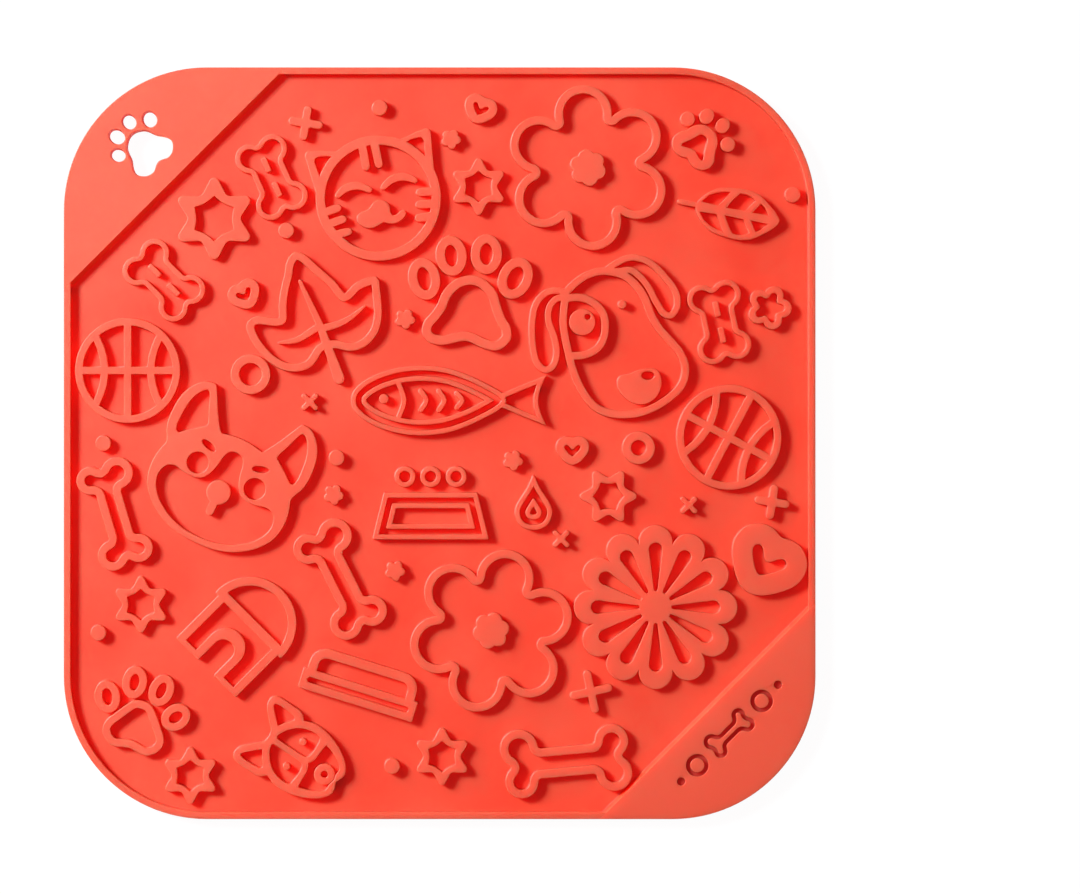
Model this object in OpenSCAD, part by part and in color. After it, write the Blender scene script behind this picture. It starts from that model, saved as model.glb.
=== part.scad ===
// Square silicone lick mat with rounded corners. A flat sheet carries a raised rim, two raised
// corner plates and a scatter of raised pet motifs, all of one height.
// The origin is the middle of the sheet's underside. +Z points up to the licked face, +X to
// the right and +Y to the top edge, with the hanging paw hole in the upper left corner.

/* [Mat] */
// Side length of the square mat
mat_side = 200; // [200:1:230]
// Radius of the four corners in plan
corner_r = 38; // [32:1:38]
// Thickness of the flat sheet
sheet_t = 2; // [1.5:0.1:3]
// Height of the relief above the sheet
relief_h = 2.5; // [1.5:0.1:4]
// Width of the raised rim
rim_w = 1.8; // [1.2:0.1:2.6]
// Rounding of the relief's corners in plan
moulded_r = 0.3; // [0.1:0.05:0.35]

/* [Corner plates] */
// Depth of the hanging corner, from the rounded corner's middle to its diagonal edge
hang_corner_d = 26; // [24:0.5:26.5]
// Depth of the corner panel, from the rounded corner's middle to its diagonal edge
corner_panel_d = 24.8; // [18:0.2:24.8]
// Run of the sloped step along both diagonals
plate_slope = 0.8; // [0.4:0.1:1.2]
// Size of the paw shaped hanging hole
hang_paw = 17.6; // [12:0.1:18]
// Distance of the hanging hole's middle from the rounded corner's middle
hang_paw_inset = 14; // [13.5:0.1:14.5]
// Width of the engraved line on the corner panel
groove_w = 1.1; // [0.6:0.1:1.2]
// Depth of the engraved line
groove_h = 1.1; // [0.3:0.1:1.2]
// Distance of the engraved row from the rounded corner's middle
groove_inset = 16.6; // [15:0.1:18]
// Distance between the lobe pairs of the engraved bone
groove_bone_l = 10.1; // [7.5:0.1:10.2]
// Outer radius of the engraved rings
groove_ring_r = 3; // [1.8:0.1:3.2]
// Gap between the engraved figures
groove_gap = 2; // [1.4:0.1:2.4]

/* [Balls] */
// Outer radius of both balls
ball_r = 14; // [11:0.1:14.2]
// Width of the balls' ribs
ball_rib = 2; // [1.4:0.1:2.4]
// Radius of the curved side seams
seam_r = 18.1; // [15:0.1:22]
// Distance of a side seam from the ball's middle
seam_gap = 6.15; // [5.5:0.05:6.8]

/* [Flowers] */
// Radius of a large flower's petal
petal_r = 7.6; // [7.3:0.1:7.7]
// Distance of a large petal's middle from the flower's middle
petal_ring_r = 14.4; // [13:0.1:14.4]
// Width of a large flower's rib
flower_rib = 2.2; // [1.6:0.1:2.8]
// Radius of the solid blossom in a large flower
blossom_r = 4.9; // [3.5:0.1:6]
// Radius of a daisy petal's tip
daisy_petal_r = 4.5; // [4.5:0.1:4.7]
// Distance of a daisy petal's tip circle from the daisy's middle
daisy_ring_r = 17.3; // [16.9:0.1:17.4]
// Distance of a daisy slot's narrow end from the middle
slot_start_r = 4.2; // [3.6:0.1:6]
// Distance of a daisy slot's wide end from the middle
slot_end_r = 17.2; // [15:0.1:17.4]
// Width of a daisy slot's wide end
slot_w = 3.6; // [2.4:0.1:3.8]
// Width of a daisy slot's narrow end
slot_tip_w = 1; // [0.8:0.1:1.2]
// Outer radius of the small flower
small_flower_r = 5.95; // [5:0.05:6]
// Width of the small flower's rib at the petals' tips
small_flower_rib = 1.8; // [1.2:0.1:2]
// Radius of the lobes of the small flower's hole
small_flower_hole_r = 1; // [0.8:0.05:1.2]

/* [Animal faces] */
// Head diameter of the cat, across its outline
cat_head_d = 33.4; // [28:0.1:33.6]
// Width of the cat's outline
cat_rib = 2.5; // [1.8:0.1:2.7]
// Size of the dog's face
dog_face = 43.9; // [38:0.1:44]
// Width of the dog's outline
dog_rib = 2; // [1.4:0.1:2.3]
// Width of the dog's ear outlines
dog_ear_rib = 1.7; // [1.3:0.1:2]
// Size of the corgi's face
corgi_face_w = 44.7; // [38:0.1:44.8]
// Size of the calico cat's face
calico_face_w = 30.6; // [26:0.1:30.8]

/* [Dog house and bed] */
// Width of the dog house's walls, outside
house_w = 22.4; // [20:0.1:22.6]
// Height of the dog house's walls under the roof line
house_h = 18.2; // [15:0.1:18.4]
// Width of the walls' ribs
house_wall = 2.3; // [1.6:0.1:2.5]
// Height of the beam between roof and walls
house_beam = 2.4; // [1.6:0.1:2.6]
// Height of the sill below the walls' hollow
house_sill = 1.5; // [1.2:0.1:2.2]
// Radius of the domed roof
dome_r = 12.4; // [12:0.1:12.6]
// Radius of the arched door opening
door_r = 2.9; // [2:0.1:3.2]
// Width of the rib round the door
door_rib = 2.3; // [1.5:0.1:2.5]
// Length of the bed's base bar
bed_base_l = 31.8; // [28:0.1:32]
// Height of the bed's base bar
bed_base_h = 5.6; // [5:0.1:6]
// Length of the bed's body
bed_body_l = 29.7; // [24:0.1:30]
// Whole height of the bed
bed_h = 12.1; // [11.5:0.1:12.5]
// Width of the ribs of the bed
bed_rib = 2.5; // [1.6:0.1:2.8]
// Width of the slot in the base bar
bed_slot_w = 1.5; // [1.2:0.1:2]
// Radius of the bed's upper corners
bed_corner_r = 4.5; // [3:0.1:5]

/* [Bones and biscuits] */
// Distance between the lobe pairs of the left bone
bone_left_l = 20.8; // [18:0.1:21]
// Distance between the lobe pairs of the middle bone
bone_middle_l = 22.3; // [19:0.1:22.5]
// Distance between the lobe pairs of the lower bone
bone_lower_l = 24.7; // [21:0.1:24.7]
// Width of the bones' ribs
bone_rib = 2.2; // [1.5:0.1:2.4]
// Distance between the lobe pairs of a biscuit
biscuit_l = 13.6; // [12:0.1:13.8]
// Radius of a biscuit's lobes
biscuit_lobe_r = 3.9; // [3.7:0.1:4]
// Distance between the two lobes of one pair
biscuit_lobe_gap = 6.6; // [6:0.1:6.8]
// Width of a biscuit's waist
biscuit_waist = 9.1; // [8:0.1:9.4]
// Width of the biscuits' ribs
biscuit_rib = 1.4; // [1.1:0.1:1.8]
// Length of the dashes inside a biscuit
dash_l = 4.1; // [2.5:0.1:4.4]
// Width of the dashes
dash_w = 1.5; // [1:0.1:1.8]

/* [Leaves] */
// Size of the lobed leaf
lobed_leaf = 34.6; // [30:0.1:34.8]
// Width of the lobed leaf's outline
lobed_leaf_rib = 2.1; // [1.4:0.1:2.3]
// Size of the veined leaf
veined_leaf = 29.3; // [26:0.1:29.5]

/* [Paws] */
// Size of the large outlined paw
large_paw = 33.5; // [29:0.1:33.6]
// Width of the large paw's ribs
large_paw_rib = 2.5; // [1.8:0.1:2.6]
// Size of the lower outlined paw
lower_paw = 26.6; // [24:0.1:26.7]
// Width of the lower paw's ribs
lower_paw_rib = 2.1; // [1.6:0.1:2.1]
// Size of the small solid paw
small_paw = 16.5; // [13:0.1:16.6]

/* [Small motifs] */
// Width of the large heart
large_heart_w = 21; // [18:0.1:21]
// Width of a small heart
small_heart_w = 8.9; // [7.6:0.1:9.2]
// Tip radius of the large star
large_star_r = 10.9; // [9:0.1:10.9]
// Tip radius of a small star
small_star_r = 7.6; // [6.4:0.1:7.6]
// Width of the stars' ribs at the tips
star_rib = 3.4; // [2.4:0.1:3.6]
// Outer radius of the left ring
left_ring_r = 5.3; // [4.4:0.1:5.4]
// Outer radius of the right ring
right_ring_r = 4.35; // [3.8:0.05:4.4]
// Width of the rings' ribs
ring_rib = 2.3; // [1.5:0.1:2.5]
// Whole length of a small plus sign's bars
plus_l = 9.2; // [7:0.1:9.6]
// Whole length of the lower plus sign's bars
lower_plus_l = 11.5; // [9:0.1:11.6]
// Width of a plus sign's bars
plus_w = 2.1; // [1.5:0.1:2.6]
// Whole length of a small cross's bars
cross_l = 5.7; // [4:0.1:6.4]
// Width of a small cross's bars
cross_w = 1.3; // [1:0.1:1.8]
// Radius of a round stud
stud_r = 2.1; // [1.4:0.1:2.3]
// Radius of a blossom stud
blossom_stud_r = 2.7; // [1.8:0.1:2.9]

/* [Middle rows] */
// Length of the fish
fish_l = 53; // [44:0.5:53]
// Width of the thin double ribs
thin_rib = 1.3; // [1:0.1:1.5]
// Width of the channel between two thin ribs
thin_gap = 1.5; // [1.2:0.1:1.8]
// Width of the food bowl at its foot
bowl_w = 31; // [26:0.5:31]
// Height of the food bowl
bowl_h = 12.4; // [11:0.1:12.6]
// Radius of the round kibble above the bowl
kibble_r = 2.8; // [2.4:0.1:2.9]
// Height of the water drop
drop_h = 15; // [12:0.1:15.5]

/* [Hidden] */
sheet_colour = [0.98, 0.38, 0.29];
relief_colour = [1, 0.47, 0.37];
// Length of the straight pieces that curves are made of
facet_l = 1;
$fa = 8;
$fs = 0.8;
// Overrun of every cut past the face that it opens
over = 1;

// Distance from the mat's middle to the middle of a rounded corner
corner_reach = (mat_side / 2 - corner_r) * sqrt(2) + corner_r;
top_z = sheet_t + relief_h;
// Diagonals of the corner plates and how far their edges lie from the mat's middle
hang_turn = 135;
panel_turn = -45;
// Sides of the diagonal through both plates
right_side_turn = 45;
left_side_turn = 225;
hang_edge = corner_reach - hang_corner_d;
panel_edge = corner_reach - corner_panel_d;

// Clearance between a motif and the foot of a corner plate
foot_gap = 0.3;

// Places of the motifs from the mat's middle, as shares of its side
ball_left_place_share = [-0.415, 0.0968];
ball_right_place_share = [0.385, 0.0078];
flower_top_place_share = [0.1975, 0.3666];
flower_bottom_place_share = [0.0685, -0.2496];
daisy_place_share = [0.2875, -0.2182];
small_flower_place_share = [0.4388, 0.1806];
cat_place_share = [-0.0815, 0.3262];
dog_place_share = [0.2227, 0.14];
corgi_place_share = [-0.2779, -0.0306];
calico_place_share = [-0.1894, -0.4162];
house_place_share = [-0.2467, -0.2343];
bed_place_share = [-0.113, -0.348];
bone_left_place_share = [-0.4322, -0.0947];
bone_middle_place_share = [-0.1322, -0.1818];
bone_lower_place_share = [0.1691, -0.4232];
biscuit_top_place_share = [-0.2237, 0.3541];
biscuit_left_place_share = [-0.3668, 0.2169];
biscuit_right_place_share = [0.3723, 0.1613];
leaf_lobed_place_share = [-0.1616, 0.1666];
leaf_veined_place_share = [0.3836, 0.3076];
paw_large_place_share = [0.0386, 0.1999];
paw_lower_place_share = [-0.3983, -0.3573];
paw_small_place_share = [0.3477, 0.402];
heart_top_place_share = [0.0555, 0.4482];
heart_left_place_share = [-0.2613, 0.2012];
heart_middle_place_share = [0.1768, -0.005];
heart_large_place_share = [0.4397, -0.1503];
star_large_place_share = [-0.2999, 0.2989];
star_top_place_share = [0.0519, 0.3415];
star_middle_place_share = [0.2246, -0.0706];
star_left_place_share = [-0.3976, -0.2148];
star_lower_place_share = [-0.3318, -0.4424];
star_bottom_place_share = [0.0033, -0.4172];
ring_left_place_share = [-0.2515, 0.0916];
ring_right_place_share = [0.2648, -0.0062];
plus_top_place_share = [-0.1783, 0.4261];
plus_right_place_share = [0.4425, -0.0783];
plus_lower_place_share = [0.2015, -0.3309];
cross_place_shares = [[-0.1727, 0.0549], [0.3318, -0.0824], [0.1616, -0.1273]];
stud_place_shares = [
    [-0.0798, 0.4465], [-0.2041, 0.283], [0.4698, 0.3307], [-0.4475, 0],
    [-0.1372, -0.0195], [-0.4541, -0.2523], [-0.0632, -0.4299]
];
blossom_stud_place_shares = [
    [0.0153, 0.4047], [-0.0459, 0.1653], [-0.141, -0.0687], [-0.0592, -0.1698], [0.0977, -0.023]
];
fish_place_share = [0.0146, 0.0569];
bowl_place_share = [-0.012, -0.097];
drop_place_share = [0.125, -0.078];

// Turns of the motifs, anticlockwise in degrees
ball_right_turn = -28;
flower_top_turn = 35;
flower_bottom_turn = 15;
blossom_top_turn = 40;
blossom_bottom_turn = 13;
small_flower_turn = -4;
cat_turn = 11;
corgi_turn = -25;
calico_turn = 56;
house_turn = -45;
bed_turn = -17.3;
bone_left_turn = -73.5;
bone_middle_turn = -63.3;
bone_lower_turn = 5.2;
biscuit_top_turn = 24;
biscuit_left_turn = 45;
biscuit_right_turn = 12;
leaf_lobed_turn = 15;
leaf_veined_turn = -11;
paw_lower_turn = -17;
paw_small_turn = -38;
heart_top_turn = -23;
heart_left_turn = 30;
heart_large_turn = -32.5;
star_middle_turn = 30;
plus_top_turn = -9;
plus_right_turn = -9;
plus_lower_turn = 12.5;
cross_turn = 45;
blossom_stud_turn = -10;

// Outlines as shares of each motif's size. Half outlines run down the right side and are
// mirrored, and a point that is given twice is a corner.
corgi_half_shares = [
    [0, 0.173], [0.065, 0.168], [0.13, 0.155], [0.13, 0.155], [0.155, 0.18], [0.215, 0.28],
    [0.275, 0.392], [0.3, 0.405], [0.35, 0.393], [0.41, 0.335], [0.447, 0.25], [0.457, 0.14],
    [0.447, 0.06], [0.42, 0], [0.41, -0.035], [0.427, -0.09], [0.437, -0.169], [0.428, -0.246],
    [0.4, -0.315], [0.33, -0.395], [0.225, -0.46], [0.12, -0.492], [0, -0.5]
];
corgi_ear_shares = [
    [0.305, 0.352], [0.35, 0.325], [0.383, 0.25], [0.395, 0.14], [0.392, 0.08], [0.37, 0.052],
    [0.31, 0.1], [0.245, 0.148], [0.23, 0.17], [0.265, 0.26]
];
corgi_muzzle_half_shares = [
    [0, 0.088], [0.04, 0.075], [0.062, 0.035], [0.07, -0.015], [0.085, -0.07], [0.105, -0.11],
    [0.135, -0.138], [0.185, -0.152], [0.25, -0.146], [0.3, -0.135], [0.345, -0.152],
    [0.367, -0.19], [0.372, -0.235], [0.355, -0.29], [0.315, -0.345], [0.26, -0.39],
    [0.19, -0.428], [0.1, -0.455], [0, -0.463]
];
// Middle, half length, half width and turn of the corgi's brow and eye
corgi_brow_share = [0.17, 0.057, 0.02, 0.05, 17];
corgi_eye_share = [0.187, -0.063, 0.065, 0.065, 0];
// Middle and radius of the nose, then middle and half width of the mouth's foot
corgi_nose_share = [0, -0.172, 0.073];
corgi_mouth_share = [0, -0.296, 0.024];

dog_face_shares = [
    [-0.25, 0.27], [-0.258, 0.203], [-0.2645, 0.138], [-0.2645, 0.077], [-0.254, 0.003],
    [-0.239, -0.064], [-0.224, -0.132], [-0.201, -0.207], [-0.171, -0.281], [-0.127, -0.355],
    [-0.078, -0.412], [-0.014, -0.447], [0.056, -0.462], [0.128, -0.463], [0.208, -0.451],
    [0.296, -0.415], [0.377, -0.363], [0.435, -0.309], [0.466, -0.255], [0.4765, -0.192],
    [0.466, -0.139], [0.436, -0.078], [0.383, -0.016], [0.321, 0.053], [0.275, 0.125],
    [0.25, 0.19], [0.225, 0.25], [0.185, 0.31], [0.14, 0.355], [0.09, 0.385], [0.03, 0.4],
    [-0.03, 0.405], [-0.09, 0.393], [-0.15, 0.365], [-0.2, 0.325], [-0.235, 0.29]
];
dog_patch_shares = [
    [-0.24, 0.24], [-0.19, 0.247], [-0.138, 0.24], [-0.085, 0.215], [-0.04, 0.175],
    [-0.015, 0.125], [-0.0105, 0.069], [-0.02, 0], [-0.05, -0.055], [-0.1, -0.09],
    [-0.16, -0.107], [-0.215, -0.107]
];
dog_left_ear_shares = [
    [-0.25, 0.28], [-0.34, 0.285], [-0.4, 0.25], [-0.437, 0.19], [-0.452, 0.11], [-0.455, 0.02],
    [-0.448, -0.06], [-0.432, -0.135], [-0.4, -0.182], [-0.362, -0.192], [-0.325, -0.165],
    [-0.306, -0.11], [-0.308, -0.045], [-0.325, 0.02], [-0.35, 0.085], [-0.358, 0.14],
    [-0.345, 0.195], [-0.31, 0.235], [-0.255, 0.255]
];
dog_right_ear_shares = [
    [0, 0.41], [0.06, 0.455], [0.13, 0.486], [0.19, 0.484], [0.25, 0.462], [0.305, 0.42],
    [0.36, 0.36], [0.405, 0.3], [0.427, 0.24], [0.422, 0.18], [0.385, 0.136], [0.345, 0.148],
    [0.318, 0.185], [0.288, 0.235], [0.256, 0.3], [0.222, 0.348], [0.185, 0.385], [0.14, 0.412],
    [0.07, 0.405]
];
dog_nose_shares = [
    [0.062, -0.262], [0.077, -0.231], [0.138, -0.215], [0.2, -0.192], [0.285, -0.185],
    [0.319, -0.215], [0.331, -0.262], [0.323, -0.315], [0.292, -0.365], [0.246, -0.396],
    [0.2, -0.402], [0.154, -0.392], [0.1, -0.354], [0.069, -0.308]
];
// Middle and radius of the dog's eye, its glint and its brow
dog_eye_share = [-0.15, 0.096, 0.08];
dog_glint_share = [-0.117, 0.128, 0.019];
dog_brow_share = [0.092, 0.204, 0.0265];
dog_nostril_share = [0.248, -0.228, 0.026, 0.04, 0];

calico_half_shares = [
    [0, 0.3], [0.055, 0.312], [0.055, 0.312], [0.19, 0.445], [0.235, 0.47], [0.285, 0.475],
    [0.325, 0.45], [0.34, 0.4], [0.34, 0.29], [0.335, 0.18], [0.285, 0.123], [0.285, 0.123],
    [0.315, 0.04], [0.32, -0.02], [0.308, -0.13], [0.268, -0.25], [0.207, -0.352],
    [0.15, -0.408], [0.095, -0.435], [0.045, -0.425], [0, -0.405], [0, -0.405]
];
calico_ear_shares = [
    [0.248, 0.413], [0.277, 0.39], [0.279, 0.292], [0.269, 0.213], [0.246, 0.197],
    [0.183, 0.246], [0.122, 0.285], [0.122, 0.285]
];
calico_eye_shares = [
    [0.028, 0.23], [0.045, 0.24], [0.096, 0.223], [0.158, 0.18], [0.212, 0.118],
    [0.242, 0.05], [0.25, -0.015], [0.245, -0.07], [0.215, -0.088], [0.096, -0.092],
    [0.045, -0.077], [0.028, -0.03]
];
calico_mouth_half_shares = [
    [0, -0.112], [0, -0.112], [0.017, -0.127], [0.063, -0.146], [0.155, -0.15], [0.22, -0.158],
    [0.22, -0.158], [0.198, -0.235], [0.155, -0.322], [0.105, -0.37], [0.055, -0.367],
    [0, -0.38]
];
calico_nose_share = [0, -0.285, 0.092];
calico_nostril_share = [0, -0.285, 0.032];
calico_dot_share = [0.128, 0.027, 0.033];

// Petal radii of a solid blossom, of the small flower and of a blossom stud, as shares of the
// whole radius
blossom_petal_share = 0.44;
small_flower_petal_share = 0.42;
blossom_stud_petal_share = 0.4;

// The cat's outlines are shares of its head's radius
cat_ear_shares = [
    [0.95, 0.2], [1.02, 0.87], [1.01, 0.92], [0.975, 0.945], [0.93, 0.948], [0.784, 0.917],
    [0.644, 0.88], [0.48, 0.845], [0.6, 0.4]
];
cat_ear_hole_shares = [
    [0.888, 0.76], [0.868, 0.81], [0.82, 0.826], [0.68, 0.815], [0.585, 0.785], [0.845, 0.4]
];
// Ends of the straight bars of the brows and whiskers, and the bars' width
cat_brow_shares = [[[-0.094, 0.86], [-0.097, 0.53]], [[0.104, 0.86], [0.112, 0.53]]];
cat_eye_shares = [
    [-0.625, 0.165, 0.046], [-0.52, 0.235, 0.06], [-0.39, 0.266, 0.065], [-0.25, 0.243, 0.06],
    [-0.115, 0.158, 0.048]
];
cat_whisker_shares = [
    [[-0.88, -0.06], [-0.67, -0.035]], [[-0.86, -0.255], [-0.625, -0.225]],
    [[-0.8, -0.445], [-0.575, -0.435]]
];
cat_bar_share = 0.13;
// Each row is a middle and a half width along the eye's run
cat_mouth_shares = [
    [0.025, -0.032], [0.11, -0.08], [0.152, -0.165], [0.143, -0.255], [0.165, -0.31],
    [0.23, -0.315], [0.298, -0.272], [0.352, -0.255], [0.39, -0.305], [0.345, -0.385],
    [0.22, -0.442], [0.095, -0.432], [0.01, -0.392], [0.01, -0.392], [-0.09, -0.43],
    [-0.21, -0.448], [-0.32, -0.405], [-0.39, -0.32], [-0.395, -0.235], [-0.335, -0.175],
    [-0.24, -0.16], [-0.165, -0.125], [-0.115, -0.075], [-0.055, -0.038]
];

leaf_lobed_shares = [
    [0, -0.215], [0.03, -0.22], [0.085, -0.232], [0.15, -0.268], [0.215, -0.285],
    [0.29, -0.275], [0.36, -0.235], [0.415, -0.175], [0.45, -0.095], [0.47, -0.01],
    [0.483, 0.07], [0.492, 0.13], [0.49, 0.168], [0.42, 0.168], [0.35, 0.155], [0.285, 0.115],
    [0.235, 0.1], [0.205, 0.14], [0.17, 0.225], [0.1, 0.33], [0.045, 0.415], [0, 0.48],
    [-0.045, 0.505], [-0.1, 0.46], [-0.135, 0.38], [-0.18, 0.3], [-0.22, 0.215],
    [-0.245, 0.14], [-0.26, 0.075], [-0.285, 0.05], [-0.34, 0.06], [-0.4, 0.085],
    [-0.46, 0.105], [-0.51, 0.09], [-0.525, 0.05], [-0.51, -0.04], [-0.48, -0.12],
    [-0.44, -0.195], [-0.38, -0.265], [-0.31, -0.31], [-0.23, -0.33], [-0.16, -0.32],
    [-0.1, -0.275], [-0.06, -0.235]
];
// Veins and stem, each as middles with a half width
leaf_lobed_vein_shares = [
    [[-0.062, 0.31, 0.015], [-0.03, 0.12, 0.022], [0, -0.06, 0.028]],
    [[0.03, -0.086, 0.028], [0.131, -0.085, 0.025], [0.231, -0.065, 0.02], [0.37, -0.005, 0.01]],
    [[-0.03, -0.07, 0.028], [-0.17, -0.115, 0.023], [-0.24, -0.12, 0.02], [-0.345, -0.105, 0.01]],
    [[0, -0.08, 0.029], [0.02, -0.3, 0.035], [0.035, -0.492, 0.043]]
];
leaf_veined_half_shares = [
    [0.477, 0], [0.431, 0.072], [0.362, 0.13], [0.3, 0.177], [0.238, 0.21], [0.15, 0.229],
    [0.05, 0.229], [-0.1, 0.206], [-0.185, 0.158], [-0.254, 0.092], [-0.3, 0]
];
leaf_veined_hole_shares = [
    [[-0.254, 0.046], [-0.2, 0.115], [-0.138, 0.15], [-0.077, 0.173], [-0.008, 0.185],
        [-0.062, 0.092], [-0.1, 0.038]],
    [[-0.023, 0.035], [0.031, 0.123], [0.077, 0.185], [0.138, 0.188], [0.2, 0.169],
        [0.227, 0.146], [0.185, 0.092], [0.154, 0.038]],
    [[0.215, 0.035], [0.281, 0.131], [0.323, 0.104], [0.377, 0.038]]
];
// The stem's two ends with a half width
leaf_veined_stem_shares = [[-0.3, 0.01, 0.022], [-0.447, 0.01, 0.024]];

// A toe is a middle, a half length, a half width and a turn
large_toe_shares = [
    [-0.353, 0.112, 0.094, 0.052, 13], [-0.138, 0.296, 0.086, 0.049, 7],
    [0.141, 0.308, 0.085, 0.051, -2], [0.371, 0.117, 0.097, 0.058, -26]
];
large_pad_shares = [
    [0.015, 0.14], [0.077, 0.129], [0.138, 0.1], [0.192, 0.046], [0.231, -0.015],
    [0.25, -0.085], [0.273, -0.154], [0.3, -0.215], [0.327, -0.254], [0.34, -0.308],
    [0.335, -0.369], [0.292, -0.423], [0.246, -0.45], [0.2, -0.458], [0.131, -0.442],
    [0.062, -0.415], [0.008, -0.388], [-0.038, -0.381], [-0.1, -0.392], [-0.169, -0.409],
    [-0.231, -0.412], [-0.292, -0.4], [-0.338, -0.373], [-0.369, -0.323], [-0.369, -0.269],
    [-0.346, -0.215], [-0.292, -0.154], [-0.25, -0.092], [-0.223, -0.023], [-0.185, 0.038],
    [-0.123, 0.096], [-0.062, 0.127]
];
lower_toe_shares = [
    [-0.359, 0.048, 0.085, 0.05, 27], [-0.14, 0.265, 0.085, 0.046, 6],
    [0.141, 0.264, 0.084, 0.044, -8], [0.357, 0.05, 0.075, 0.05, -40]
];
lower_pad_half_shares = [
    [0, 0.109], [0.065, 0.102], [0.118, 0.067], [0.186, -0.015], [0.24, -0.09],
    [0.287, -0.154], [0.313, -0.22], [0.31, -0.285], [0.272, -0.348], [0.21, -0.393],
    [0.145, -0.406], [0.075, -0.392], [0, -0.378]
];
small_toe_shares = [
    [-0.387, 0.15, 0.12, 0.118, 0], [-0.171, 0.372, 0.13, 0.115, 0],
    [0.125, 0.4125, 0.128, 0.112, 0], [0.377, 0.223, 0.12, 0.12, 0]
];
small_pad_half_shares = [
    [0, 0.254], [0.09, 0.246], [0.165, 0.208], [0.225, 0.15], [0.26, 0.09], [0.285, 0.015],
    [0.325, -0.055], [0.37, -0.12], [0.385, -0.18], [0.38, -0.25], [0.35, -0.31],
    [0.29, -0.365], [0.21, -0.396], [0.125, -0.396], [0.06, -0.375], [0, -0.35]
];
small_pad_hole_half_shares = [
    [0, 0.104], [0.06, 0.085], [0.1, 0.015], [0.135, -0.07], [0.18, -0.155], [0.215, -0.225],
    [0.2, -0.25], [0.15, -0.238], [0.08, -0.205], [0, -0.185]
];
hang_toe_shares = [
    [-0.36, 0.171, 0.115, 0.1, 30], [-0.175, 0.382, 0.13, 0.11, 15],
    [0.115, 0.41, 0.12, 0.105, -8], [0.363, 0.217, 0.125, 0.11, -25]
];
hang_pad_half_shares = [
    [0, 0.25], [0.07, 0.238], [0.14, 0.2], [0.19, 0.158], [0.225, 0.1], [0.248, 0.033],
    [0.275, -0.03], [0.325, -0.095], [0.362, -0.16], [0.376, -0.225], [0.346, -0.292],
    [0.275, -0.358], [0.205, -0.385], [0.14, -0.383], [0.075, -0.35], [0, -0.325]
];

// A heart's half hole, its rib and the rounding of its dip, as shares of its width
heart_hole_half_shares = [
    [0, -0.079], [0.05, -0.055], [0.1, 0.01], [0.15, 0.05], [0.2, 0.055], [0.235, 0.025],
    [0.24, -0.02], [0.215, -0.075], [0.15, -0.155], [0.07, -0.235], [0, -0.275]
];
heart_rib_share = 0.26;
heart_dip_share = 0.12;

// The roof's round middle lies below the beam's upper edge, by a share of the beam's height
dome_drop_share = 0.667;
dome_drop = house_beam * dome_drop_share;
// The door's round middle lies below the beam's upper edge, by a share of the walls' height
door_share = 0.585;
door_y = -house_h * door_share;

// Lobe radii of a bone, as shares of its length, first pair and then second pair
bone_lobe_shares = [0.204, 0.178, 0.181, 0.193];
// Distance of a lobe from the bone's axis and half the shaft's width
bone_gap_shares = [0.178, 0.172];
bone_shaft_share = 0.16;

// The fish's body and tail above its axis, as shares of its length
fish_half_shares = [
    [-0.5, 0], [-0.485, 0.05], [-0.43, 0.1], [-0.345, 0.141], [-0.24, 0.168], [-0.13, 0.175],
    [-0.02, 0.162], [0.08, 0.13], [0.17, 0.088], [0.25, 0.042], [0.28, 0]
];
fish_tail_half_shares = [
    [0.2, 0.02], [0.27, 0.04], [0.37, 0.082], [0.48, 0.125], [0.48, 0.125], [0.452, 0.06],
    [0.44, 0]
];
// Middle and radius of the eye
fish_eye_share = [-0.335, 0.008, 0.0245];
// Half height and place of the gill line and the scale lines, and how far they bulge
fish_line_shares = [[0.088, -0.262], [0.048, -0.15], [0.048, -0.06], [0.036, 0.03]];
fish_line_bulge_share = 0.028;
// Upper width of the bowl and places of the kibble, as shares of the bowl's width
bowl_top_share = 0.8;
kibble_shares = [-0.22, 0, 0.22];
drop_half_shares = [
    [0, 0.5], [0, 0.5], [0.1, 0.27], [0.22, 0.08], [0.31, -0.08], [0.33, -0.22],
    [0.27, -0.38], [0.15, -0.47], [0, -0.5]
];
// Notch of a star and of its hole, as shares of the tip's radius
star_notch_share = 0.625;
star_hole_notch_share = 0.79;
// Rounding of a star's tips and notches, as shares of the tip's radius
star_round_share = 0.125;
star_fillet_share = 0.14;
// How far the rounding moves a notch out, as a share of its radius
star_shift_share = 1.19;
// How full the hole's sides bulge inwards, from 1 for a smooth wave to sharper tips below
star_bulge = 0.8;
// Turn between the points of a star's hole
star_step = 7.5;

// Point on a smooth curve between b and c, whose neighbours are a and d
function between(a, b, c, d, t) =
    0.5 * (2 * b + (c - a) * t + (2 * a - 5 * b + 4 * c - d) * t ^ 2
        + (3 * b - a - 3 * c + d) * t ^ 3);

// Pieces that a stretch of curve is cut into
function pieces(b, c) = ceil(norm(c - b) / facet_l);

// Closed smooth curve through the points
function loop(points) = [
    for (i = [0 : len(points) - 1])
        let (
            n = len(points),
            a = points[(i + n - 1) % n],
            b = points[i],
            c = points[(i + 1) % n],
            d = points[(i + 2) % n]
        )
        for (k = [0 : 1 : pieces(b, c) - 1]) between(a, b, c, d, k / pieces(b, c))
];

// Open smooth curve through the points
function run(points) = [
    for (i = [0 : len(points) - 2])
        let (
            a = points[max(i - 1, 0)],
            b = points[i],
            c = points[i + 1],
            d = points[min(i + 2, len(points) - 1)]
        )
        for (k = [0 : 1 : pieces(b, c) - 1]) between(a, b, c, d, k / pieces(b, c)),
    points[len(points) - 1]
];

// Right half outline with its mirror image. Points on the axis aren't doubled.
function mirrored(half) = concat(
    half,
    [for (i = [len(half) - 1 : -1 : 0]) if (half[i].x != 0) [-half[i].x, half[i].y]]
);

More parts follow.
